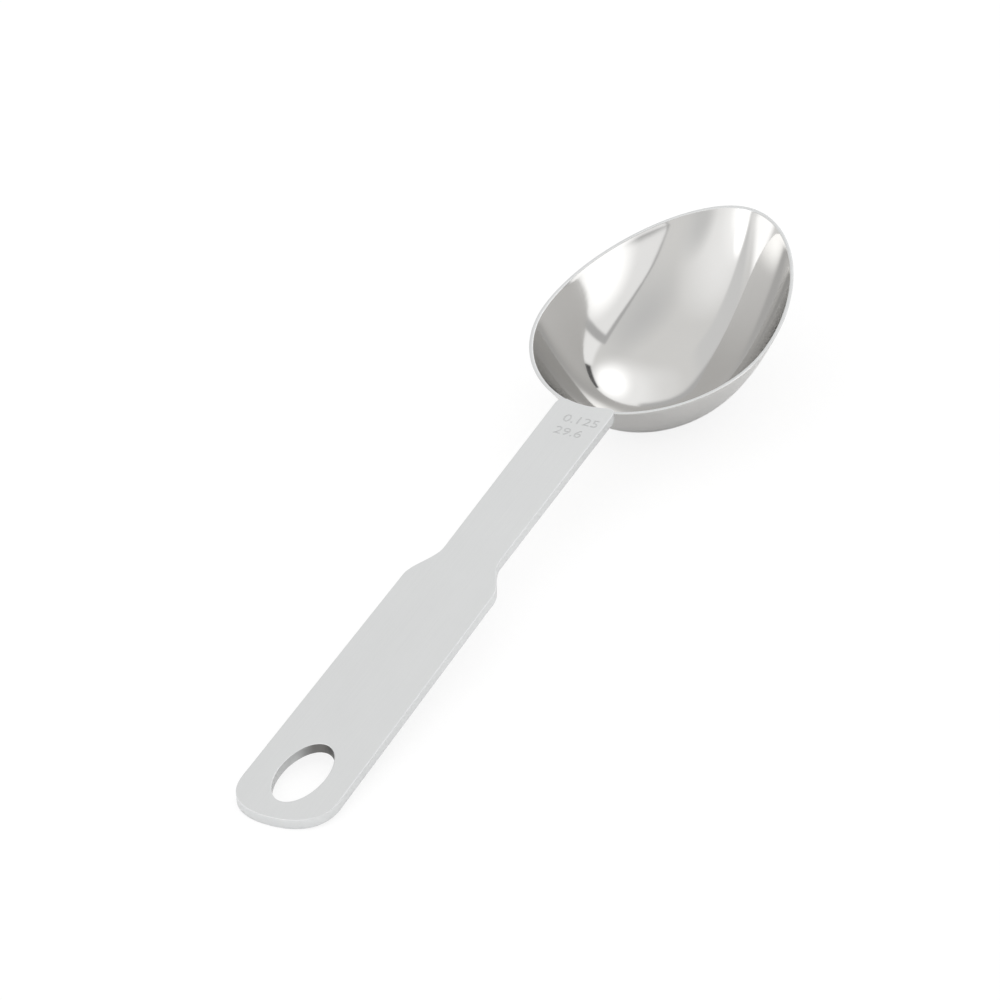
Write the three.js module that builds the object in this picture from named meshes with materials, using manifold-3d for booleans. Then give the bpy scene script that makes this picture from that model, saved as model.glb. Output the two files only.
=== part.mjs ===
// A stainless-steel cup scoop: a polished egg-shaped bowl spot-welded under a flat satin handle.
// Millimetres. The pieces are drawn level: X runs from the handle's end to the bowl's tip, and
// Z = 0 is the plane of the bowl's rim. The whole scoop is then tilted into the pose in which it
// lies on a table, on the bowl's underside and the handle's end.
import * as THREE from "three";
import { mergeVertices } from "three/addons/utils/BufferGeometryUtils.js";
import Module from "manifold-3d";

// Handle plate
const PLATE_THICKNESS = 2.1;
const PLATE_EDGE = 0.15; // rounding of the plate's edges
const GRIP_WIDTH_AT_END = 19.8;
const GRIP_WIDTH_AT_SHOULDER = 18.8;
const GRIP_END_LENGTH = 9; // how far the rounded end reaches along the handle
const GRIP_END_FULLNESS = 0.64; // 0.55 would be an ellipse, 1 a square end
const SHOULDER_START = 74.8;
const SHOULDER_LENGTH = 10.5;
const NECK_WIDTH_AT_SHOULDER = 11.8;
const NECK_WIDTH_AT_BOWL = 12.3;
const NECK_CORNER = 2.2; // reach of the two rounded corners next to the bowl
const NECK_END_HOLLOW = 0.6; // the neck's end is cut hollow by this much, like the rim before it

// Hanging slot, an ellipse
const SLOT_CENTRE = 13.8;
const SLOT_LENGTH = 17.8;
const SLOT_WIDTH = 9.2;

// Bowl
const SHEET_THICKNESS = 0.7;
const HEEL = 138.9; // where the rim begins, from the handle's end
const HEEL_ROUNDNESS = 12.1; // reach of the curve's tangent at the heel
const WIDEST = 170.5;
const BOWL_HALF_WIDTH = 23.95;
const WIDEST_REACH_TO_HEEL = 17.8;
const WIDEST_REACH_TO_TIP = 21.4;
const TIP = 216;
const TIP_ROUNDNESS = 11.6;
const DEEPEST = 175.4;
const BOWL_DEPTH = 18.9; // rim plane to the outside of the bottom
const WALL_CURVE = 2.74; // the wall rises as this power of the distance from the deepest point

// Joint between the two
const PLATE_TO_RIM = 0.8; // from the plate's end to the rim
const SEAT_GAP = 0.2; // between the plate's underside and the tang
const TANG_LENGTH = 22;
const TANG_WIDTH = 9.6;
const TANG_BEND = 1.5; // radius under the tang where it leaves the wall
const WELD_DIAMETER = 4.4;
const WELD_CLEARANCE = 0.3;
const WELD_CROWN = 0.15;
const WELD_FRONT_TO_HEEL = 7;
const WELD_SPACING = 9;

// Fineness of the facets
const RIM_STEPS = 32; // steps along each half of the rim
const WALL_RINGS = 13;
const OUTLINE_STEPS = 12;
const SLOT_STEPS = 40;
const WELD_SIDES = 28;
const EDGE_STEPS = 2; // facets across a rounded edge of the plate
const RIM_OVERRUN = 1.05; // the wall is drawn this far past the rim and then cut level
const CUT_MARGIN = 5;
const SAME_POINT = 1e-5; // corners closer than this are one corner
const TILT_HALVINGS = 40;

const wasm = await Module();
wasm.setup();

function toSolid(geometry) {
  const bare = geometry.clone();
  bare.deleteAttribute("normal");
  bare.deleteAttribute("uv");
  const merged = mergeVertices(bare, SAME_POINT);
  const mesh = new wasm.Mesh({
    numProp: 3,
    vertProperties: merged.attributes.position.array,
    triVerts: new Uint32Array(merged.index.array),
  });
  return new wasm.Manifold(mesh);
}

function toGeometry(solid) {
  const { vertProperties, triVerts } = solid.getMesh();
  const geometry = new THREE.BufferGeometry();
  geometry.setAttribute("position", new THREE.BufferAttribute(vertProperties, 3));
  geometry.setIndex(new THREE.BufferAttribute(triVerts, 1));
  geometry.computeVertexNormals();
  return geometry;
}

function boxBetween(low, high) {
  const size = new THREE.Vector3().subVectors(high, low);
  const centre = new THREE.Vector3().addVectors(low, high).multiplyScalar(0.5);
  return new THREE.BoxGeometry(size.x, size.y, size.z).translate(centre.x, centre.y, centre.z);
}

// The rim seen from above: one half from the heel to the tip, mirrored for the other half.
function rimOutline() {
  const heelHalf = new THREE.CubicBezierCurve(
    new THREE.Vector2(HEEL, 0),
    new THREE.Vector2(HEEL, -HEEL_ROUNDNESS),
    new THREE.Vector2(WIDEST - WIDEST_REACH_TO_HEEL, -BOWL_HALF_WIDTH),
    new THREE.Vector2(WIDEST, -BOWL_HALF_WIDTH),
  );
  const tipHalf = new THREE.CubicBezierCurve(
    new THREE.Vector2(WIDEST, -BOWL_HALF_WIDTH),
    new THREE.Vector2(WIDEST + WIDEST_REACH_TO_TIP, -BOWL_HALF_WIDTH),
    new THREE.Vector2(TIP, -TIP_ROUNDNESS),
    new THREE.Vector2(TIP, 0),
  );
  const half = new THREE.CurvePath();
  half.add(heelHalf);
  half.add(tipHalf);
  const right = half.getSpacedPoints(RIM_STEPS);
  const left = right.slice(1, -1).reverse();
  return right.concat(left.map((point) => new THREE.Vector2(point.x, -point.y)));
}

// A point of the bowl's outer face: share runs from 0 at the deepest point to 1 at the rim.
function wallPoint(rimPoint, share) {
  return new THREE.Vector3(
    DEEPEST + share * (rimPoint.x - DEEPEST),
    share * rimPoint.y,
    -BOWL_DEPTH * (1 - share ** WALL_CURVE),
  );
}

// The direction into the bowl, square to the wall.
function wallNormal(rimPoint, along, share) {
  const outward = new THREE.Vector3(
    rimPoint.x - DEEPEST,
    rimPoint.y,
    BOWL_DEPTH * WALL_CURVE * share ** (WALL_CURVE - 1),
  );
  return outward.cross(new THREE.Vector3(along.x, along.y, 0)).normalize();
}

// A surface of the bowl as rings of points from the deepest point outwards, set in from the
// outer face by the given thickness.
function wallRings(outline, thickness) {
  const rings = [];
  for (let ring = 0; ring <= WALL_RINGS; ring += 1) {
    const share = RIM_OVERRUN * (ring / WALL_RINGS);
    rings.push(
      outline.map((rimPoint, index) => {
        const next = outline[(index + 1) % outline.length];
        const previous = outline.at(index - 1);
        const along = new THREE.Vector2().subVectors(next, previous);
        return wallPoint(rimPoint, share).addScaledVector(
          wallNormal(rimPoint, along, share),
          thickness,
        );
      }),
    );
  }
  return rings;
}

// A closed skin over a stack of rings whose first and last rings are single points.
function skinOver(rings) {
  const profile = rings.map((ring, index) => new THREE.Vector2(1, index));
  const sides = rings[0].length;
  const geometry = new THREE.LatheGeometry(profile, sides);
  const position = geometry.attributes.position;
  for (let side = 0; side <= sides; side += 1) {
    rings.forEach((ring, index) => {
      const point = ring[side % sides];
      position.setXYZ(side * rings.length + index, point.x, point.y, point.z);
    });
  }
  return geometry;
}

function bowlShell(outline) {
  const outer = wallRings(outline, 0);
  const inner = wallRings(outline, SHEET_THICKNESS);
  return toSolid(skinOver([...outer, ...inner.reverse()]));
}

// The space inside the bowl, closed by a lid above the rim.
function bowlInside(outline) {
  const inner = wallRings(outline, SHEET_THICKNESS);
  const lid = inner.at(-1).map(() => new THREE.Vector3(DEEPEST, 0, CUT_MARGIN));
  return toSolid(skinOver([...inner, lid]));
}

// The tang is a strip of the bowl's own sheet, folded level and rounded at its free end.
function tangSolid(weldCentres) {
  const end = HEEL - TANG_LENGTH;
  const radius = TANG_WIDTH / 2;
  const plan = new THREE.Shape();
  plan.moveTo(HEEL + SHEET_THICKNESS, -radius);
  plan.lineTo(HEEL + SHEET_THICKNESS, radius);
  plan.lineTo(end + radius, radius);
  plan.absarc(end + radius, 0, radius, Math.PI / 2, (3 * Math.PI) / 2, false);
  plan.closePath();
  for (const centre of weldCentres) {
    const hole = new THREE.Path();
    hole.absarc(centre, 0, WELD_DIAMETER / 2 + WELD_CLEARANCE, 0, 2 * Math.PI, true);
    plan.holes.push(hole);
  }
  const strip = new THREE.ExtrudeGeometry(plan, {
    depth: SHEET_THICKNESS,
    bevelEnabled: false,
    curveSegments: OUTLINE_STEPS,
  }).translate(0, 0, -SHEET_THICKNESS);
  return toSolid(strip).add(tangBend());
}

// The rounded corner between the tang's underside and the outside of the wall.
function tangBend() {
  const heelPoint = new THREE.Vector2(HEEL, 0);
  const slope = (BOWL_DEPTH * WALL_CURVE) / (DEEPEST - HEEL);
  const wallAngle = Math.atan(slope);
  const corner = new THREE.Vector2(heelPoint.x + SHEET_THICKNESS / slope, -SHEET_THICKNESS);
  const tangent = TANG_BEND / Math.tan((Math.PI - wallAngle) / 2);
  const start = new THREE.Vector2(corner.x - tangent, corner.y);
  const stop = new THREE.Vector2(
    corner.x + tangent * Math.cos(wallAngle),
    corner.y - tangent * Math.sin(wallAngle),
  );
  const side = new THREE.Shape();
  side.moveTo(start.x, start.y + SHEET_THICKNESS / 2);
  side.lineTo(start.x, start.y);
  side.absarc(start.x, start.y - TANG_BEND, TANG_BEND, Math.PI / 2, Math.PI / 2 - wallAngle, true);
  side.lineTo(stop.x + SHEET_THICKNESS, stop.y);
  side.lineTo(heelPoint.x + SHEET_THICKNESS, corner.y + SHEET_THICKNESS / 2);
  side.closePath();
  const bend = new THREE.ExtrudeGeometry(side, {
    depth: TANG_WIDTH,
    bevelEnabled: false,
    curveSegments: OUTLINE_STEPS,
  });
  bend.rotateX(Math.PI / 2).translate(0, TANG_WIDTH / 2, 0);
  return toSolid(bend);
}

function bowlGeometry(weldCentres) {
  const outline = rimOutline();
  const above = boxBetween(
    new THREE.Vector3(-CUT_MARGIN, -BOWL_HALF_WIDTH - CUT_MARGIN, 0),
    new THREE.Vector3(TIP + CUT_MARGIN, BOWL_HALF_WIDTH + CUT_MARGIN, BOWL_DEPTH),
  );
  const tang = tangSolid(weldCentres).subtract(bowlInside(outline));
  return toGeometry(bowlShell(outline).subtract(toSolid(above)).add(tang));
}

// The plate's outline: rounded end, tapering grip, S-shaped shoulders and a slim neck.
function plateOutline() {
  const endHalf = GRIP_WIDTH_AT_END / 2;
  const shoulderHalf = GRIP_WIDTH_AT_SHOULDER / 2;
  const neckHalf = NECK_WIDTH_AT_SHOULDER / 2;
  const bowlHalf = NECK_WIDTH_AT_BOWL / 2;
  const shoulderEnd = SHOULDER_START + SHOULDER_LENGTH;
  const third = SHOULDER_LENGTH / 3;
  const plateEnd = HEEL - PLATE_TO_RIM;
  const hollowHalf = bowlHalf - NECK_CORNER;
  const cornerTip = plateEnd + (2 * NECK_END_HOLLOW * NECK_CORNER) / hollowHalf;
  const square = 1 - GRIP_END_FULLNESS;
  const shape = new THREE.Shape();
  shape.moveTo(0, 0);
  shape.bezierCurveTo(
    0, -GRIP_END_FULLNESS * endHalf, GRIP_END_LENGTH * square, -endHalf, GRIP_END_LENGTH, -endHalf,
  );
  shape.lineTo(SHOULDER_START, -shoulderHalf);
  shape.bezierCurveTo(
    SHOULDER_START + third, -shoulderHalf, shoulderEnd - third, -neckHalf, shoulderEnd, -neckHalf,
  );
  shape.lineTo(plateEnd - NECK_CORNER, -bowlHalf);
  shape.quadraticCurveTo(cornerTip, -bowlHalf, plateEnd, -hollowHalf);
  shape.quadraticCurveTo(plateEnd - 2 * NECK_END_HOLLOW, 0, plateEnd, hollowHalf);
  shape.quadraticCurveTo(cornerTip, bowlHalf, plateEnd - NECK_CORNER, bowlHalf);
  shape.lineTo(shoulderEnd, neckHalf);
  shape.bezierCurveTo(
    shoulderEnd - third, neckHalf, SHOULDER_START + third, shoulderHalf, SHOULDER_START, shoulderHalf,
  );
  shape.lineTo(GRIP_END_LENGTH, endHalf);
  shape.bezierCurveTo(
    GRIP_END_LENGTH * square, endHalf, 0, GRIP_END_FULLNESS * endHalf, 0, 0,
  );
  return shape;
}

function handleGeometry() {
  const shape = plateOutline();
  const slot = new THREE.EllipseCurve(SLOT_CENTRE, 0, SLOT_LENGTH / 2, SLOT_WIDTH / 2);
  shape.holes.push(new THREE.Path(slot.getPoints(SLOT_STEPS).slice(0, -1)));
  const plate = new THREE.ExtrudeGeometry(shape, {
    depth: PLATE_THICKNESS - 2 * PLATE_EDGE,
    bevelEnabled: true,
    bevelThickness: PLATE_EDGE,
    bevelSize: PLATE_EDGE,
    bevelOffset: -PLATE_EDGE,
    bevelSegments: EDGE_STEPS,
    curveSegments: OUTLINE_STEPS,
  }).translate(0, 0, SEAT_GAP + PLATE_EDGE);
  return toGeometry(toSolid(plate));
}

// A weld fills a hole in the tang and bulges a little below it.
function weldGeometry(centre) {
  const radius = WELD_DIAMETER / 2;
  const profile = [
    new THREE.Vector2(0, -SHEET_THICKNESS - WELD_CROWN),
    new THREE.Vector2(radius / 2, -SHEET_THICKNESS - WELD_CROWN),
    new THREE.Vector2(radius, -SHEET_THICKNESS),
    new THREE.Vector2(radius, 0),
    new THREE.Vector2(0, 0),
  ];
  const weld = new THREE.LatheGeometry(profile, WELD_SIDES);
  return weld.rotateX(Math.PI / 2).translate(centre, 0, 0);
}

function lowestPoint(geometry, tilt) {
  const position = geometry.attributes.position;
  let lowest = Infinity;
  for (let index = 0; index < position.count; index += 1) {
    const height = position.getX(index) * Math.sin(tilt) + position.getZ(index) * Math.cos(tilt);
    lowest = Math.min(lowest, height);
  }
  return lowest;
}

// The tilt at which the handle's end and the bowl's underside touch the same table.
function restingTilt(handle, bowl) {
  let low = 0;
  let high = Math.PI / 4;
  for (let step = 0; step < TILT_HALVINGS; step += 1) {
    const middle = (low + high) / 2;
    if (lowestPoint(bowl, middle) < lowestPoint(handle, middle)) low = middle;
    else high = middle;
  }
  return (low + high) / 2;
}

const polishedSteel = { color: 0xc9c8c6, roughness: 0.06, metalness: 1 };
const satinSteel = { color: 0xd6d7d7, roughness: 0.38, metalness: 1 };
const weldSteel = { color: 0xb4b2ae, roughness: 0.45, metalness: 1 };

function addPiece(parent, name, geometry, finish) {
  const piece = new THREE.Mesh(geometry, new THREE.MeshStandardMaterial(finish));
  piece.name = name;
  parent.add(piece);
}

const weldFront = HEEL - WELD_FRONT_TO_HEEL;
const weldRear = weldFront - WELD_SPACING;
const bowl = bowlGeometry([weldFront, weldRear]);
const handle = handleGeometry();

const scoop = new THREE.Group();
addPiece(scoop, "bowl", bowl, polishedSteel);
addPiece(scoop, "handle", handle, satinSteel);
addPiece(scoop, "spot_weld_front", weldGeometry(weldFront), weldSteel);
addPiece(scoop, "spot_weld_rear", weldGeometry(weldRear), weldSteel);

// The tip is lifted until the scoop lies on the table, with the origin under the box's middle.
scoop.rotation.y = -restingTilt(handle, bowl);
scoop.updateMatrixWorld(true);
const box = new THREE.Box3().setFromObject(scoop, true);
const middle = box.getCenter(new THREE.Vector3());
scoop.position.set(-middle.x, -middle.y, -box.min.z);

const group = new THREE.Group();
group.add(scoop);

export default group;
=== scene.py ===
import math
import bmesh
import bpy
from mathutils import Matrix, Vector


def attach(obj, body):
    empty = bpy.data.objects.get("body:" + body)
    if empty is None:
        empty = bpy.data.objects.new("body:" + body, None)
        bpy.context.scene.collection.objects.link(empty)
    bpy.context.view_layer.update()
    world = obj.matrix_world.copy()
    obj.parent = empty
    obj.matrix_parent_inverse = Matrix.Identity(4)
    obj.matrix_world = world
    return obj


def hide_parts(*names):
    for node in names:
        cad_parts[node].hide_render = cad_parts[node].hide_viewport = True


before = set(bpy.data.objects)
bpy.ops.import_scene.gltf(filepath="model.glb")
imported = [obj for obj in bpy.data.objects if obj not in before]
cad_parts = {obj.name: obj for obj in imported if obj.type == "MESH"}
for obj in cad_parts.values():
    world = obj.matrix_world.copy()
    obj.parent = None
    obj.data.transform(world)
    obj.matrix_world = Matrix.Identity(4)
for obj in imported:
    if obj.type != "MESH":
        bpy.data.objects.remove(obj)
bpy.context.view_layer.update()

# Sizes in millimetres, with the scoop drawn level: X from the handle's end, Z = 0 at the bowl's rim
MM = 0.001
PLATE_THICKNESS = 2.1
PLATE_EDGE = 0.15
GRIP_END_HALF = 9.9
GRIP_SHOULDER_HALF = 9.4
GRIP_END_LENGTH = 9
GRIP_END_FULLNESS = 0.64
SHOULDER_START = 74.8
SHOULDER_LENGTH = 10.5
NECK_SHOULDER_HALF = 5.9
NECK_BOWL_HALF = 6.15
NECK_CORNER = 2.2
NECK_END_HOLLOW = 0.6
PLATE_END = 138.1
SLOT_CENTRE = 13.8
SLOT_HALF_LENGTH = 8.9
SLOT_HALF_WIDTH = 4.6
ROUND = 0.5523  # tangent of a quarter ellipse drawn as one curve

SHEET = 0.7
HEEL = 138.9
HEEL_ROUNDNESS = 12.1
WIDEST = 170.5
BOWL_HALF_WIDTH = 23.95
WIDEST_REACH_TO_HEEL = 17.8
WIDEST_REACH_TO_TIP = 21.4
TIP = 216
TIP_ROUNDNESS = 11.6
DEEPEST = 175.4
BOWL_DEPTH = 18.87
WALL_CURVE = 2.74
WALL_RINGS = 64
RIM_STEPS = 56
RIM_SETTLING = 12  # passes that even out the rim's curvature
RIM_EDGE = 0.17
RIM_INSET = 0.07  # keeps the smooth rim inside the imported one, which has facets

SEAT_GAP = 0.2
TANG_LENGTH = 22
TANG_HALF = 4.8
TANG_BEND = 1.5
TANG_EDGE = 0.12
FOLD_STEPS = 10
WELD_RADIUS = 2.2
WELD_HOLE_RADIUS = 2.5
WELD_CROWN = 0.15
WELD_FACE = [(0, 0.07), (0.7, 0.06), (1.1, 0.01), (1.45, 0), (1.9, 0.05), (2.12, 0.13)]  # radius, height
WELD_STEPS = 48
WELD_PLACES = {"spot_weld_front": 131.9, "spot_weld_rear": 122.9}
HEAT_REACH = 2.6

MARK_ROWS = {"0.125": 131.1, "29.6": 126.9}  # plain numbers, and where the foot of each row is
MARK_START = 2.5
MARK_SIZE = 3.4
MARK_DEPTH = 0.05
CREASE = math.radians(40)  # steeper edges stay sharp

GROUND_RIM = 1  # place of the rim's finish among the bowl's finishes
PUNCHED, ETCHED = 1, 2  # places of the slot's and the numbers' finishes among the handle's
WALL_RISE = 0.2  # a face is a wall if its normal rises less than this
LEVEL_RISE = 0.75  # and it lies level if its normal rises more than this

# The floor, in metres, and the photograph's camera, set against the level scoop
FLOOR_RADIUS = 6
FLOOR_STEPS = 64
FLOOR_DROP = 0.00005
CAMERA_TURN = math.radians(-62.877)
CAMERA_RISE = math.radians(35.851)
CAMERA_ROLL = math.radians(-3.392)
CAMERA_AIM = Vector((102.99, 2.39, SEAT_GAP + PLATE_THICKNESS))
CAMERA_DISTANCE = 1296
SENSOR_WIDTH = 36
LENS = 6.797 * SENSOR_WIDTH


# Lays the level drawing on the table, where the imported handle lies
def resting_matrix(handle):
    upward = [face for face in handle.data.polygons if face.normal.z > 0.9]
    top = max(upward, key=lambda face: face.area).normal
    turn = Matrix.Rotation(math.atan2(top.x, top.z), 4, "Y")
    level = [turn.inverted() @ corner.co for corner in handle.data.vertices]
    end = min(point.x for point in level)
    seat = min(point.z for point in level) - SEAT_GAP * MM
    return turn @ Matrix.Translation((end, 0, seat)) @ Matrix.Scale(MM, 4)


RESTING = resting_matrix(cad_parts["handle"])


# Meshes and objects

def mesh_object(name, mesh):
    made = bpy.data.objects.new(name, mesh)
    bpy.context.scene.collection.objects.link(made)
    return made


def finish_piece(name, shape, finishes, node):
    """Turns a level bmesh into a piece of the scoop, lying where its CAD node lies."""
    bmesh.ops.transform(shape, matrix=RESTING, verts=shape.verts)
    mesh = bpy.data.meshes.new(name)
    shape.to_mesh(mesh)
    shape.free()
    mesh.polygons.foreach_set("use_smooth", [True] * len(mesh.polygons))
    mesh.set_sharp_from_angle(angle=CREASE)
    for finish in finishes:
        mesh.materials.append(finish)
    piece = mesh_object(name, mesh)
    weighted = piece.modifiers.new("even_normals", "WEIGHTED_NORMAL")
    weighted.weight = 80
    weighted.keep_sharp = True
    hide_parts(node)
    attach(piece, "root")


def curve_mesh(splines, **settings):
    """A flat curve as a mesh; each spline is a closed list of (point, tangent in, tangent out)."""
    curve = bpy.data.curves.new("outline", "CURVE")
    curve.dimensions = "2D"
    for name, value in settings.items():
        setattr(curve, name, value)
    for points in splines:
        spline = curve.splines.new("BEZIER")
        spline.bezier_points.add(len(points) - 1)
        spline.use_cyclic_u = True
        for knot, (place, arriving, leaving) in zip(spline.bezier_points, points):
            knot.handle_left_type = "FREE"
            knot.handle_right_type = "FREE"
            knot.co = (*place, 0)
            knot.handle_left = (*arriving, 0)
            knot.handle_right = (*leaving, 0)
    drawing = bpy.data.objects.new("outline", curve)
    shape = bmesh.new()
    mesh = bpy.data.meshes.new_from_object(drawing)
    shape.from_mesh(mesh)
    bpy.data.objects.remove(drawing)
    bpy.data.meshes.remove(mesh)
    bpy.data.curves.remove(curve)
    bmesh.ops.remove_doubles(shape, verts=shape.verts, dist=1e-4)
    return shape


def mirrored(points):
    """Adds the other side to half an outline that runs from one end of the scoop to the other."""
    other = [tuple((x, -y) for x, y in knot) for knot in reversed(points[1:-1])]
    return points + [(place, leaving, arriving) for place, arriving, leaving in other]


# Handle plate

def plate_outline():
    shoulder_end = SHOULDER_START + SHOULDER_LENGTH
    third = SHOULDER_LENGTH / 3
    square = GRIP_END_LENGTH * (1 - GRIP_END_FULLNESS)
    bulge = GRIP_END_FULLNESS * GRIP_END_HALF
    corner = PLATE_END - NECK_CORNER
    hollow_half = NECK_BOWL_HALF - NECK_CORNER
    hollow_middle = PLATE_END - NECK_END_HOLLOW
    overhang = 2 * NECK_END_HOLLOW * NECK_CORNER / hollow_half
    grip = (SHOULDER_START - GRIP_END_LENGTH) / 3
    slope = (GRIP_END_HALF - GRIP_SHOULDER_HALF) / 3
    neck = (corner - shoulder_end) / 3
    flare = (NECK_BOWL_HALF - NECK_SHOULDER_HALF) / 3
    return mirrored([
        ((0, 0), (0, -bulge), (0, bulge)),
        ((GRIP_END_LENGTH, GRIP_END_HALF), (square, GRIP_END_HALF),
         (GRIP_END_LENGTH + grip, GRIP_END_HALF - slope)),
        ((SHOULDER_START, GRIP_SHOULDER_HALF), (SHOULDER_START - grip, GRIP_SHOULDER_HALF + slope),
         (SHOULDER_START + third, GRIP_SHOULDER_HALF)),
        ((shoulder_end, NECK_SHOULDER_HALF), (shoulder_end - third, NECK_SHOULDER_HALF),
         (shoulder_end + neck, NECK_SHOULDER_HALF + flare)),
        ((corner, NECK_BOWL_HALF), (corner - neck, NECK_BOWL_HALF - flare),
         (corner + (NECK_CORNER + overhang) * 2 / 3, NECK_BOWL_HALF)),
        ((PLATE_END, hollow_half), (PLATE_END + overhang * 2 / 3, hollow_half + NECK_CORNER * 2 / 3),
         (PLATE_END - NECK_END_HOLLOW * 2 / 3, hollow_half * 2 / 3)),
        ((hollow_middle, 0), (hollow_middle, hollow_half / 3), (hollow_middle, -hollow_half / 3)),
    ])


def ellipse_outline(centre, half_length, half_width):
    near = half_length * ROUND
    wide = half_width * ROUND
    return mirrored([
        ((centre - half_length, 0), (centre - half_length, -wide), (centre - half_length, wide)),
        ((centre, half_width), (centre - near, half_width), (centre + near, half_width)),
        ((centre + half_length, 0), (centre + half_length, wide), (centre + half_length, -wide)),
    ])


def plate_shape(finishes):
    slot = ellipse_outline(SLOT_CENTRE, SLOT_HALF_LENGTH, SLOT_HALF_WIDTH)
    shape = curve_mesh(
        [plate_outline(), slot],
        fill_mode="BOTH",
        resolution_u=20,
        extrude=PLATE_THICKNESS / 2 - PLATE_EDGE,
        bevel_depth=PLATE_EDGE,
        bevel_resolution=3,
        offset=-PLATE_EDGE,
    )
    raised = SEAT_GAP + PLATE_THICKNESS / 2
    bmesh.ops.translate(shape, vec=(0, 0, raised), verts=shape.verts)
    bmesh.ops.recalc_face_normals(shape, faces=shape.faces)
    for face in shape.faces:
        middle = face.calc_center_median()
        length = (middle.x - SLOT_CENTRE) / (SLOT_HALF_LENGTH + PLATE_EDGE)
        width = middle.y / (SLOT_HALF_WIDTH + PLATE_EDGE)
        if math.hypot(length, width) < 1 and abs(face.normal.z) < WALL_RISE:
            face.material_index = PUNCHED
    return engraved(shape, finishes)


def number_letters():
    """The measure in plain numbers, as solid letters half sunk in the neck's top."""
    letters = bmesh.new()
    top = SEAT_GAP + PLATE_THICKNESS
    for words, foot in MARK_ROWS.items():
        text = bpy.data.curves.new("mark", "FONT")
        text.body = words
        text.size = MARK_SIZE
        text.extrude = MARK_DEPTH
        drawing = bpy.data.objects.new("mark", text)
        mesh = bpy.data.meshes.new_from_object(drawing)
        mesh.transform(Matrix.Translation((foot, MARK_START, top)) @ Matrix.Rotation(-math.pi / 2, 4, "Z"))
        letters.from_mesh(mesh)
        bpy.data.objects.remove(drawing)
        bpy.data.meshes.remove(mesh)
        bpy.data.curves.remove(text)
    bmesh.ops.remove_doubles(letters, verts=letters.verts, dist=1e-4)
    for face in letters.faces:
        face.material_index = ETCHED
    return letters


def engraved(plate, finishes):
    """Cuts the shallow numbers into the plate."""
    holders = []
    for name, shape in (("plate", plate), ("letters", number_letters())):
        mesh = bpy.data.meshes.new(name)
        shape.to_mesh(mesh)
        shape.free()
        for finish in finishes:
            mesh.materials.append(finish)
        holders.append(mesh_object(name, mesh))
    blank, cutter = holders
    cut = blank.modifiers.new("numbers", "BOOLEAN")
    cut.operation = "DIFFERENCE"
    cut.solver = "EXACT"
    cut.object = cutter
    done = blank.evaluated_get(bpy.context.evaluated_depsgraph_get())
    result = bmesh.new()
    result.from_mesh(done.data)
    for holder in holders:
        mesh = holder.data
        bpy.data.objects.remove(holder)
        bpy.data.meshes.remove(mesh)
    return result


# Bowl

def rim_ring():
    """The rim seen from above, from the heel round by the tip, as a mesh and its edges."""
    points = mirrored([
        ((HEEL, 0), (HEEL, -HEEL_ROUNDNESS), (HEEL, HEEL_ROUNDNESS)),
        ((WIDEST, BOWL_HALF_WIDTH), (WIDEST - WIDEST_REACH_TO_HEEL, BOWL_HALF_WIDTH),
         (WIDEST + WIDEST_REACH_TO_TIP, BOWL_HALF_WIDTH)),
        ((TIP, 0), (TIP, TIP_ROUNDNESS), (TIP, -TIP_ROUNDNESS)),
    ])
    outline = curve_mesh([points], fill_mode="NONE", resolution_u=RIM_STEPS)
    for _ in range(RIM_SETTLING):
        bmesh.ops.smooth_vert(outline, verts=outline.verts, factor=0.5, use_axis_x=True, use_axis_y=True)
    heel = min(point.co.x for point in outline.verts)
    tip = max(point.co.x for point in outline.verts)
    half = max(point.co.y for point in outline.verts)
    longer = (TIP - HEEL - 2 * RIM_INSET) / (tip - heel)
    wider = (BOWL_HALF_WIDTH - RIM_INSET) / half
    bmesh.ops.translate(outline, vec=(HEEL + RIM_INSET - heel, 0, 0), verts=outline.verts)
    start = Matrix.Translation((-HEEL - RIM_INSET, 0, 0))
    bmesh.ops.scale(outline, vec=(longer, wider, 1), space=start, verts=outline.verts)
    return outline, list(outline.edges)


def next_ring(shape, edges):
    """Extrudes a ring of edges and returns the new ring's corners and edges."""
    made = bmesh.ops.extrude_edge_only(shape, edges=edges)["geom"]
    corners = {item for item in made if isinstance(item, bmesh.types.BMVert)}
    ring = [item for item in made if isinstance(item, bmesh.types.BMEdge) and corners.issuperset(item.verts)]
    return list(corners), ring


def press_skin(shape, edges, depth):
    """Presses ever smaller rings down from the rim to the deepest point."""
    centre = Matrix.Translation((-DEEPEST, 0, 0))
    for step in range(WALL_RINGS):
        share = 1 - step / WALL_RINGS
        smaller = 1 - (step + 1) / WALL_RINGS
        corners, edges = next_ring(shape, edges)
        bmesh.ops.scale(shape, vec=(smaller / share, smaller / share, 1), space=centre, verts=corners)
        drop = depth * (smaller ** WALL_CURVE - share ** WALL_CURVE)
        bmesh.ops.translate(shape, vec=(0, 0, drop), verts=corners)
    bmesh.ops.remove_doubles(shape, verts=corners, dist=1e-3)


def level_thickness(reach):
    """The sheet's thickness measured level at the rim, where the wall slopes."""
    return SHEET / math.sin(math.atan(BOWL_DEPTH * WALL_CURVE / reach))


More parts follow.
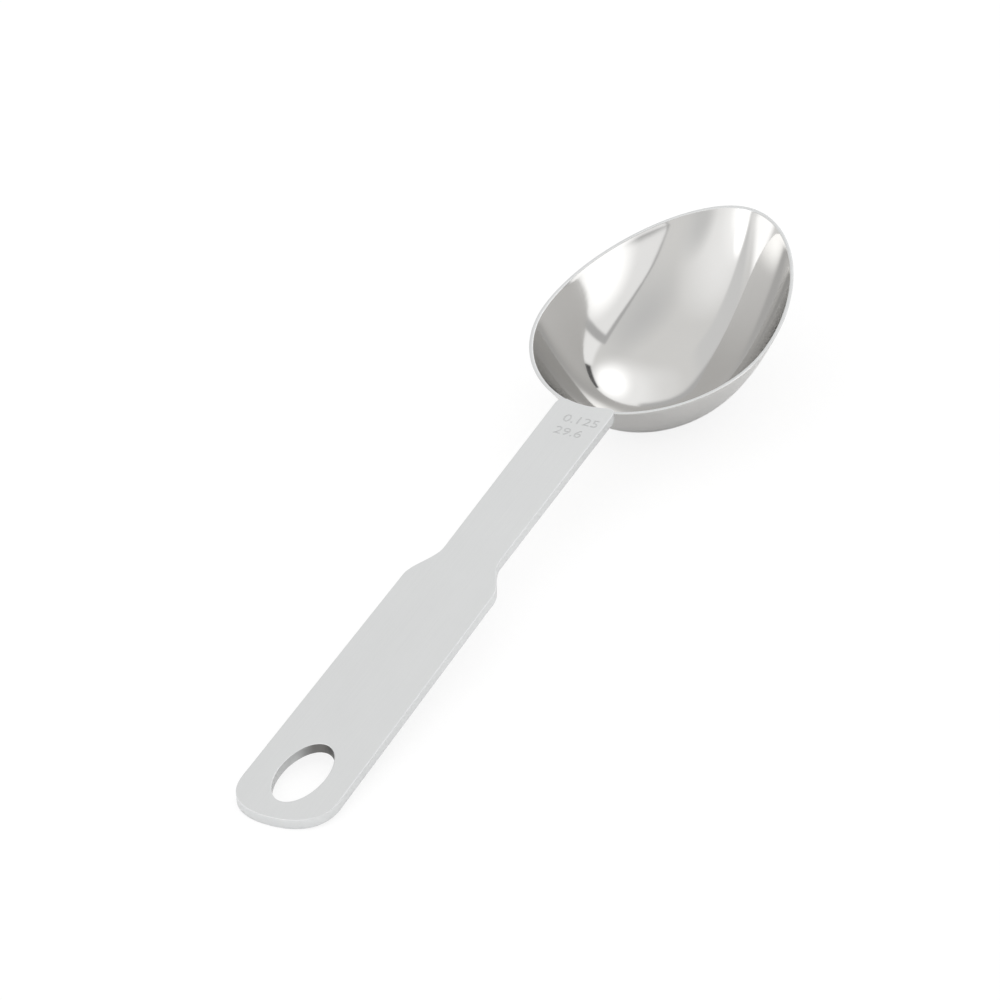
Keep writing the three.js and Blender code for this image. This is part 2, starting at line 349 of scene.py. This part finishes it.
def bowl_shape():
    shape, outer_rim = rim_ring()
    corners, inner_rim = next_ring(shape, outer_rim)
    half_length = (TIP - HEEL) / 2
    shorter = 1 - level_thickness(half_length) / half_length
    narrower = 1 - level_thickness(BOWL_HALF_WIDTH) / BOWL_HALF_WIDTH
    centre = Matrix.Translation((-(HEEL + TIP) / 2, 0, 0))
    bmesh.ops.scale(shape, vec=(shorter, narrower, 1), space=centre, verts=corners)
    press_skin(shape, outer_rim, BOWL_DEPTH)
    press_skin(shape, inner_rim, BOWL_DEPTH - SHEET)
    bmesh.ops.recalc_face_normals(shape, faces=shape.faces)
    bmesh.ops.bevel(
        shape, geom=outer_rim + inner_rim, affect="EDGES", offset=RIM_EDGE, segments=3,
        profile=0.5, material=-1,
    )
    shape.normal_update()
    for face in shape.faces:
        if face.normal.z > LEVEL_RISE and face.calc_center_median().z > -RIM_EDGE:
            face.material_index = GROUND_RIM
    return shape


# Tang under the neck, and the two welds that fill its holes

def tang_shape():
    end = HEEL - TANG_LENGTH
    middle = end + TANG_HALF
    reach = ROUND * TANG_HALF
    front = HEEL + SHEET / 2
    sweep = front + SHEET
    outline = mirrored([
        ((end, 0), (end, -reach), (end, reach)),
        ((middle, TANG_HALF), (middle - reach, TANG_HALF), (middle + reach, TANG_HALF)),
        ((sweep, TANG_HALF), (sweep - reach, TANG_HALF), (front + SHEET / 2, TANG_HALF / 2)),
        ((front, 0), (front, TANG_HALF / 4), (front, -TANG_HALF / 4)),
    ])
    holes = [
        ellipse_outline(place, WELD_HOLE_RADIUS, WELD_HOLE_RADIUS) for place in WELD_PLACES.values()
    ]
    shape = curve_mesh(
        [outline, *holes],
        fill_mode="BOTH",
        resolution_u=16,
        extrude=SHEET / 2 - TANG_EDGE,
        bevel_depth=TANG_EDGE,
        bevel_resolution=2,
        offset=-TANG_EDGE,
    )
    bmesh.ops.translate(shape, vec=(0, 0, -SHEET / 2), verts=shape.verts)
    bmesh.ops.recalc_face_normals(shape, faces=shape.faces)
    return shape


def fold_shape():
    """The rounded inside of the fold where the tang leaves the wall, along the rim's curve."""
    steep = math.atan(BOWL_DEPTH * WALL_CURVE / (DEEPEST - HEEL))
    rim_radius = 1.5 * HEEL_ROUNDNESS ** 2 / (WIDEST - WIDEST_REACH_TO_HEEL - HEEL)
    corner = HEEL + SHEET / math.tan(steep)
    start = corner - TANG_BEND * math.tan(steep / 2)
    sunk = SHEET / 3
    arc = [steep * step / FOLD_STEPS for step in range(FOLD_STEPS + 1)]
    profile = [
        (start + TANG_BEND * math.sin(turn), TANG_BEND * (math.cos(turn) - 1) - SHEET) for turn in arc
    ]
    wall_end, wall_foot = profile[-1]
    profile += [
        (wall_end + sunk * math.sin(steep), wall_foot + sunk * math.cos(steep)),
        (corner + sunk, sunk - SHEET),
        (start, sunk - SHEET),
    ]
    shape = bmesh.new()
    corners = [shape.verts.new((x, 0, z)) for x, z in profile]
    edges = [shape.edges.new(pair) for pair in zip(corners, corners[1:] + corners[:1])]
    half_turn = math.asin((TANG_HALF - TANG_EDGE) / rim_radius)
    axis = (HEEL + rim_radius, 0, 0)
    aside = Matrix.Rotation(-half_turn, 3, "Z")
    bmesh.ops.rotate(shape, cent=axis, matrix=aside, verts=corners)
    bmesh.ops.spin(
        shape, geom=corners + edges, cent=axis, axis=(0, 0, 1), angle=2 * half_turn, steps=FOLD_STEPS,
    )
    bmesh.ops.holes_fill(shape, edges=shape.edges, sides=0)
    bmesh.ops.recalc_face_normals(shape, faces=shape.faces)
    return shape


def weld_shape(place):
    """A low dome with the dimple that the electrode leaves, turned about its own axis."""
    floor = -SHEET - WELD_CROWN
    face = [(radius, floor + height) for radius, height in WELD_FACE]
    profile = face + [(WELD_RADIUS, -SHEET), (WELD_RADIUS, 0), (0, 0)]
    shape = bmesh.new()
    corners = [shape.verts.new((place + radius, 0, height)) for radius, height in profile]
    edges = [shape.edges.new(pair) for pair in zip(corners, corners[1:])]
    bmesh.ops.spin(
        shape, geom=corners + edges, cent=(place, 0, 0), axis=(0, 0, 1), angle=math.tau,
        steps=WELD_STEPS, use_merge=True,
    )
    bmesh.ops.remove_doubles(shape, verts=shape.verts, dist=1e-4)
    bmesh.ops.recalc_face_normals(shape, faces=shape.faces)
    return shape


# Node trees

def add_node(tree, kind, inputs, **settings):
    made = tree.nodes.new(kind)
    for name, value in settings.items():
        setattr(made, name, value)
    for name, value in inputs.items():
        socket = made.inputs[name]
        if isinstance(value, bpy.types.NodeSocket):
            tree.links.new(value, socket)
        else:
            socket.default_value = value
    return made


def new_material(name):
    material = bpy.data.materials.new(name)
    material.use_nodes = True
    tree = material.node_tree
    tree.nodes.clear()
    shader = tree.nodes.new("ShaderNodeBsdfPrincipled")
    output = tree.nodes.new("ShaderNodeOutputMaterial")
    tree.links.new(shader.outputs["BSDF"], output.inputs["Surface"])
    return material, tree, shader


def steel_noise(tree, scale, stretch, detail):
    """Noise on the object's own coordinates, turned level with the scoop and stretched."""
    place = add_node(tree, "ShaderNodeTexCoord", {})
    turn = (0, RESTING.to_euler().y, 0)
    level = add_node(
        tree, "ShaderNodeMapping",
        {"Vector": place.outputs["Object"], "Rotation": turn, "Scale": stretch},
        vector_type="TEXTURE",
    )
    return add_node(
        tree, "ShaderNodeTexNoise",
        {"Vector": level.outputs["Vector"], "Scale": scale, "Detail": detail, "Roughness": 0.6},
    ).outputs["Fac"]


def spread(tree, value, low, high):
    """A noise value spread between two levels."""
    return add_node(
        tree, "ShaderNodeMapRange",
        {"Value": value, "From Min": 0.3, "From Max": 0.7, "To Min": low, "To Max": high},
    ).outputs["Result"]


def grey(level):
    return (level, level, level, 1)


def tint(tree, factor, low, high):
    return add_node(
        tree, "ShaderNodeMix", {"Factor": factor, "A": low, "B": high}, data_type="RGBA",
    ).outputs["Result"]


def combine(tree, operation, first, second):
    return add_node(tree, "ShaderNodeMath", {0: first, 1: second}, operation=operation).outputs[0]


def along(tree, direction, axis):
    return add_node(
        tree, "ShaderNodeVectorMath", {0: direction, 1: axis}, operation="DOT_PRODUCT",
    ).outputs["Value"]


def soft_step(tree, value, start, stop, before, after):
    return add_node(
        tree, "ShaderNodeMapRange",
        {"Value": value, "From Min": start, "From Max": stop, "To Min": before, "To Max": after},
        interpolation_type="SMOOTHSTEP",
    ).outputs["Result"]


# Finishes

def dress_steel(tree, shader, colour, roughness, relief, strength, depth):
    """Gives a metal shader its colour, its roughness and a fine relief."""
    bump = add_node(tree, "ShaderNodeBump", {"Strength": strength, "Distance": depth, "Height": relief})
    tree.links.new(colour, shader.inputs["Base Color"])
    tree.links.new(roughness, shader.inputs["Roughness"])
    tree.links.new(bump.outputs["Normal"], shader.inputs["Normal"])
    shader.inputs["Metallic"].default_value = 1


def weld_heat(tree):
    """How strongly the steel is tinted by the heat of the nearest weld."""
    place = add_node(tree, "ShaderNodeTexCoord", {}).outputs["Object"]
    nearest = 1
    for along_neck in WELD_PLACES.values():
        centre = RESTING @ Vector((along_neck, 0, -SHEET))
        away = add_node(
            tree, "ShaderNodeVectorMath", {0: place, 1: centre}, operation="DISTANCE",
        ).outputs["Value"]
        nearest = combine(tree, "MINIMUM", nearest, away)
    return soft_step(tree, nearest, WELD_RADIUS * MM, (WELD_RADIUS + HEAT_REACH) * MM, 1, 0)


def mirror_polish():
    material, tree, shader = new_material("mirror_polish")
    haze = steel_noise(tree, 90, (1, 1, 1), 3)
    wipes = steel_noise(tree, 900, (12, 1, 1), 4)
    steel = tint(tree, haze, (0.605, 0.6, 0.59, 1), (0.635, 0.63, 0.62, 1))
    colour = tint(tree, weld_heat(tree), steel, (0.47, 0.36, 0.22, 1))
    dress_steel(tree, shader, colour, spread(tree, haze, 0.045, 0.075), wipes, 0.012, 0.0001)
    return material


def satin_brush():
    material, tree, shader = new_material("satin_brush")
    cloud = steel_noise(tree, 120, (2, 1, 1), 3)
    grain = steel_noise(tree, 3200, (60, 1, 1), 4)
    colour = tint(tree, cloud, (0.685, 0.694, 0.697, 1), (0.72, 0.729, 0.732, 1))
    dress_steel(tree, shader, colour, spread(tree, grain, 0.36, 0.5), grain, 0.12, 0.00005)
    return material


def punched_edge_painted_shade():
    """The slot's wall: sheared steel, with painted shade darkening it toward the end nearer the bowl,
    standing in for the shadowed floor that this wall mirrors.
    """
    material, tree, shader = new_material("punched_edge_painted_shade")
    place = add_node(tree, "ShaderNodeTexCoord", {}).outputs["Object"]
    shade_start = RESTING @ Vector((SLOT_CENTRE + SLOT_HALF_LENGTH / 2, 0, 0))
    end = RESTING @ Vector((SLOT_CENTRE + SLOT_HALF_LENGTH, 0, 0))
    reach = add_node(tree, "ShaderNodeSeparateXYZ", {"Vector": place}).outputs["X"]
    tears = steel_noise(tree, 1500, (1, 1, 8), 4)
    steel = tint(tree, tears, (0.6, 0.605, 0.605, 1), (0.7, 0.705, 0.705, 1))
    # Painted shade: the wall's colour darkens from the slot's middle to its end toward the bowl
    painted_shade_mask = soft_step(tree, reach, shade_start.x, end.x, 0, 1)
    colour = tint(tree, painted_shade_mask, steel, (0.22, 0.215, 0.21, 1))
    dress_steel(tree, shader, colour, spread(tree, tears, 0.4, 0.55), tears, 0.2, 0.00005)
    return material


def etched_numbers():
    material, tree, shader = new_material("etched_numbers")
    frost = steel_noise(tree, 4000, (1, 1, 1), 3)
    colour = tint(tree, frost, (0.58, 0.586, 0.588, 1), (0.65, 0.656, 0.658, 1))
    dress_steel(tree, shader, colour, spread(tree, frost, 0.5, 0.65), frost, 0.2, 0.00003)
    return material


def weld_burn():
    material, tree, shader = new_material("weld_burn")
    bloom = steel_noise(tree, 700, (1, 1, 1), 4)
    pits = steel_noise(tree, 3000, (1, 1, 1), 3)
    colour = tint(tree, bloom, (0.34, 0.3, 0.25, 1), (0.5, 0.49, 0.48, 1))
    dress_steel(tree, shader, colour, spread(tree, pits, 0.35, 0.6), pits, 0.3, 0.0001)
    return material


# Studio

def toward(azimuth, elevation):
    """The direction from the scoop to a place in the studio, given in degrees."""
    turn, rise = math.radians(azimuth), math.radians(elevation)
    return Vector((math.cos(turn) * math.cos(rise), math.sin(turn) * math.cos(rise), math.sin(rise)))


def board(tree, direction, soft, corners):
    """How much of a flat board with these corners is seen in a direction."""
    points = [toward(*corner) for corner in corners]
    middle = sum(points, Vector())
    seen = 1
    for near, far in zip(points, points[1:] + points[:1]):
        inward = near.cross(far).normalized()
        if inward.dot(middle) < 0:
            inward.negate()
        edge = soft_step(tree, along(tree, direction, inward), -soft, soft, 0, 1)
        seen = combine(tree, "MULTIPLY", seen, edge)
    return seen


def lamp(tree, direction, place, half_width, half_height, core):
    """How much of an oval lamp is seen in a direction; it fades from its core to its edge."""
    outward = toward(*place)
    across = Vector((0, 0, 1)).cross(outward).normalized()
    upward = outward.cross(across)
    facing = along(tree, direction, outward)
    ahead = combine(tree, "GREATER_THAN", facing, 0.05)
    shares = []
    for axis, half in ((across, half_width), (upward, half_height)):
        share = combine(tree, "DIVIDE", along(tree, direction, axis / half), facing)
        shares.append(combine(tree, "POWER", share, 2))
    size = combine(tree, "POWER", combine(tree, "ADD", *shares), 0.5)
    return combine(tree, "MULTIPLY", ahead, soft_step(tree, size, core, 1, 1, 0))


def room_light(tree, direction):
    """An even room with soft lamps, white boards and the dark gaps between them."""
    dull_corner = lamp(tree, direction, (-72, 42), 0.6, 0.5, 0)
    dull_end = lamp(tree, direction, (-125, 29), 0.4, 0.3, 0.1)
    ceiling = lamp(tree, direction, (178, 48), 2.0, 1.15, 0.05)
    window_glow = lamp(tree, direction, (164, 38), 0.85, 0.36, 0.1)
    window = lamp(tree, direction, (164, 35), 0.5, 0.21, 0.2)
    window_core = lamp(tree, direction, (150, 38.5), 0.34, 0.2, 0)
    near_wall = board(tree, direction, 0.08, [
        (40, 18), (142, 26), (142, 36), (136, 44), (127, 51), (116, 61), (40, 69),
    ])
    tip_lamp = lamp(tree, direction, (-6, 38.5), 0.62, 0.39, 0.5)
    tip_lamp_core = lamp(tree, direction, (-14, 37), 0.39, 0.29, 0.15)
    dark_gap = board(tree, direction, 0.015, [(-31, 18), (-31, 23.5), (-11, 24.5), (-11, 18)])
    side_board = board(tree, direction, 0.03, [(-50, 15), (-50, 27), (-32, 25), (-32, 15)])
    frame_edge = board(tree, direction, 0.012, [
        (-101, 18), (-86, 27), (-70, 29.5), (-52, 31), (-49.5, 31), (-50.5, 0), (-62, 0), (-101, 14),
    ])
    framed_board = board(tree, direction, 0.014, [
        (-98, 19), (-86, 25), (-70, 27.6), (-54.5, 27.4), (-54.5, 2), (-62, 3.7), (-98, 18.2),
    ])
    board_glow = lamp(tree, direction, (-68, 10), 0.32, 0.24, 0.35)
    dull_wall = board(tree, direction, 0.03, [(18, 28), (18, 34), (50, 39), (60, 39), (60, 28)])
    far_board = board(tree, direction, 0.07, [(90, 0), (90, 22), (127, 24.5), (127, 0)])
    layers = [
        (dull_corner, 0.8), (ceiling, 1.27), (dull_end, 0.85), (window_glow, 1.45),
        (window, 1.75), (window_core, 2.6), (near_wall, 0.89), (tip_lamp, 1.27),
        (tip_lamp_core, 2.05), (dark_gap, 0.13), (side_board, 1.25), (frame_edge, 0.62),
        (framed_board, 1.21), (board_glow, 1.75), (dull_wall, 0.62), (far_board, 1.65),
    ]
    light = (0.96, 0.955, 0.945, 1)
    for seen, level in layers:
        light = tint(tree, seen, light, grey(level))
    return light


def studio_world():
    """The room lights the scoop and is mirrored in it; the camera itself sees plain white."""
    world = bpy.data.worlds.new("studio")
    bpy.context.scene.world = world
    world.use_nodes = True
    tree = world.node_tree
    tree.nodes.clear()
    direction = add_node(tree, "ShaderNodeTexCoord", {}).outputs["Generated"]
    light = room_light(tree, direction)
    camera_ray = add_node(tree, "ShaderNodeLightPath", {}).outputs["Is Camera Ray"]
    shown = tint(tree, camera_ray, light, grey(1))
    background = add_node(tree, "ShaderNodeBackground", {"Color": shown})
    output = tree.nodes.new("ShaderNodeOutputWorld")
    tree.links.new(background.outputs["Background"], output.inputs["Surface"])


def white_floor():
    """White paper; the camera sees it whitened with a faint shadow, and sees through it from below."""
    shape = bmesh.new()
    bmesh.ops.create_circle(shape, cap_ends=True, segments=FLOOR_STEPS, radius=FLOOR_RADIUS)
    bmesh.ops.translate(shape, vec=(0, 0, -FLOOR_DROP), verts=shape.verts)
    mesh = bpy.data.meshes.new("floor")
    shape.to_mesh(mesh)
    shape.free()
    material = bpy.data.materials.new("floor_paper")
    material.use_nodes = True
    tree = material.node_tree
    tree.nodes.clear()
    path = add_node(tree, "ShaderNodeLightPath", {})
    paper = add_node(tree, "ShaderNodeBsdfDiffuse", {"Color": grey(0.8)})
    shine = add_node(tree, "ShaderNodeBsdfDiffuse", {"Color": grey(0.98)})
    pale = add_node(tree, "ShaderNodeBsdfDiffuse", {"Color": grey(0.17)})
    bright = add_node(tree, "ShaderNodeEmission", {"Color": grey(0.84)})
    white = add_node(tree, "ShaderNodeAddShader", {0: pale.outputs[0], 1: bright.outputs[0]})
    mirrored_ray = combine(
        tree, "MAXIMUM", path.outputs["Is Glossy Ray"], path.outputs["Is Transmission Ray"],
    )
    lit = add_node(tree, "ShaderNodeMixShader", {0: mirrored_ray, 1: paper.outputs[0], 2: shine.outputs[0]})
    above = add_node(
        tree, "ShaderNodeMixShader",
        {0: path.outputs["Is Camera Ray"], 1: lit.outputs[0], 2: white.outputs[0]},
    )
    clear = tree.nodes.new("ShaderNodeBsdfTransparent")
    below = tree.nodes.new("ShaderNodeNewGeometry").outputs["Backfacing"]
    seen = add_node(tree, "ShaderNodeMixShader", {0: below, 1: above.outputs[0], 2: clear.outputs[0]})
    output = tree.nodes.new("ShaderNodeOutputMaterial")
    tree.links.new(seen.outputs[0], output.inputs["Surface"])
    mesh.materials.append(material)
    mesh_object("floor", mesh)


def photo_camera():
    """The photograph's viewing angle, turned with the scoop from its level drawing to the table."""
    level_reach = math.cos(CAMERA_RISE)
    back = Vector((
        math.sin(CAMERA_TURN) * level_reach, -math.cos(CAMERA_TURN) * level_reach, math.sin(CAMERA_RISE),
    ))
    right = Vector((math.cos(CAMERA_TURN), math.sin(CAMERA_TURN), 0))
    upward = back.cross(right)
    tilted_right = math.cos(CAMERA_ROLL) * right + math.sin(CAMERA_ROLL) * upward
    tilted_up = math.cos(CAMERA_ROLL) * upward - math.sin(CAMERA_ROLL) * right
    level = Matrix((tilted_right, tilted_up, back)).transposed().to_4x4()
    camera = bpy.data.cameras.new("camera")
    camera.sensor_width = SENSOR_WIDTH
    camera.lens = LENS
    camera.clip_end = 100
    holder = bpy.data.objects.new("camera", camera)
    holder.matrix_world = RESTING.to_quaternion().to_matrix().to_4x4() @ level
    holder.location = RESTING @ (CAMERA_AIM + CAMERA_DISTANCE * back)
    bpy.context.scene.collection.objects.link(holder)
    bpy.context.scene.camera = holder


polish = mirror_polish()
satin = satin_brush()
burn = weld_burn()
plate_finishes = [satin, punched_edge_painted_shade(), etched_numbers()]
finish_piece("bowl_shell", bowl_shape(), [polish, satin], "bowl")
finish_piece("bowl_tang", tang_shape(), [polish], "bowl")
finish_piece("bowl_fold", fold_shape(), [polish], "bowl")
finish_piece("handle_plate", plate_shape(plate_finishes), plate_finishes, "handle")
for weld, place in WELD_PLACES.items():
    finish_piece(weld + "_nugget", weld_shape(place), [burn], weld)

studio_world()
white_floor()
photo_camera()
bpy.context.scene.view_settings.view_transform = "Standard"
bpy.context.scene.cycles.glossy_bounces = 12  # the bowl mirrors itself many times
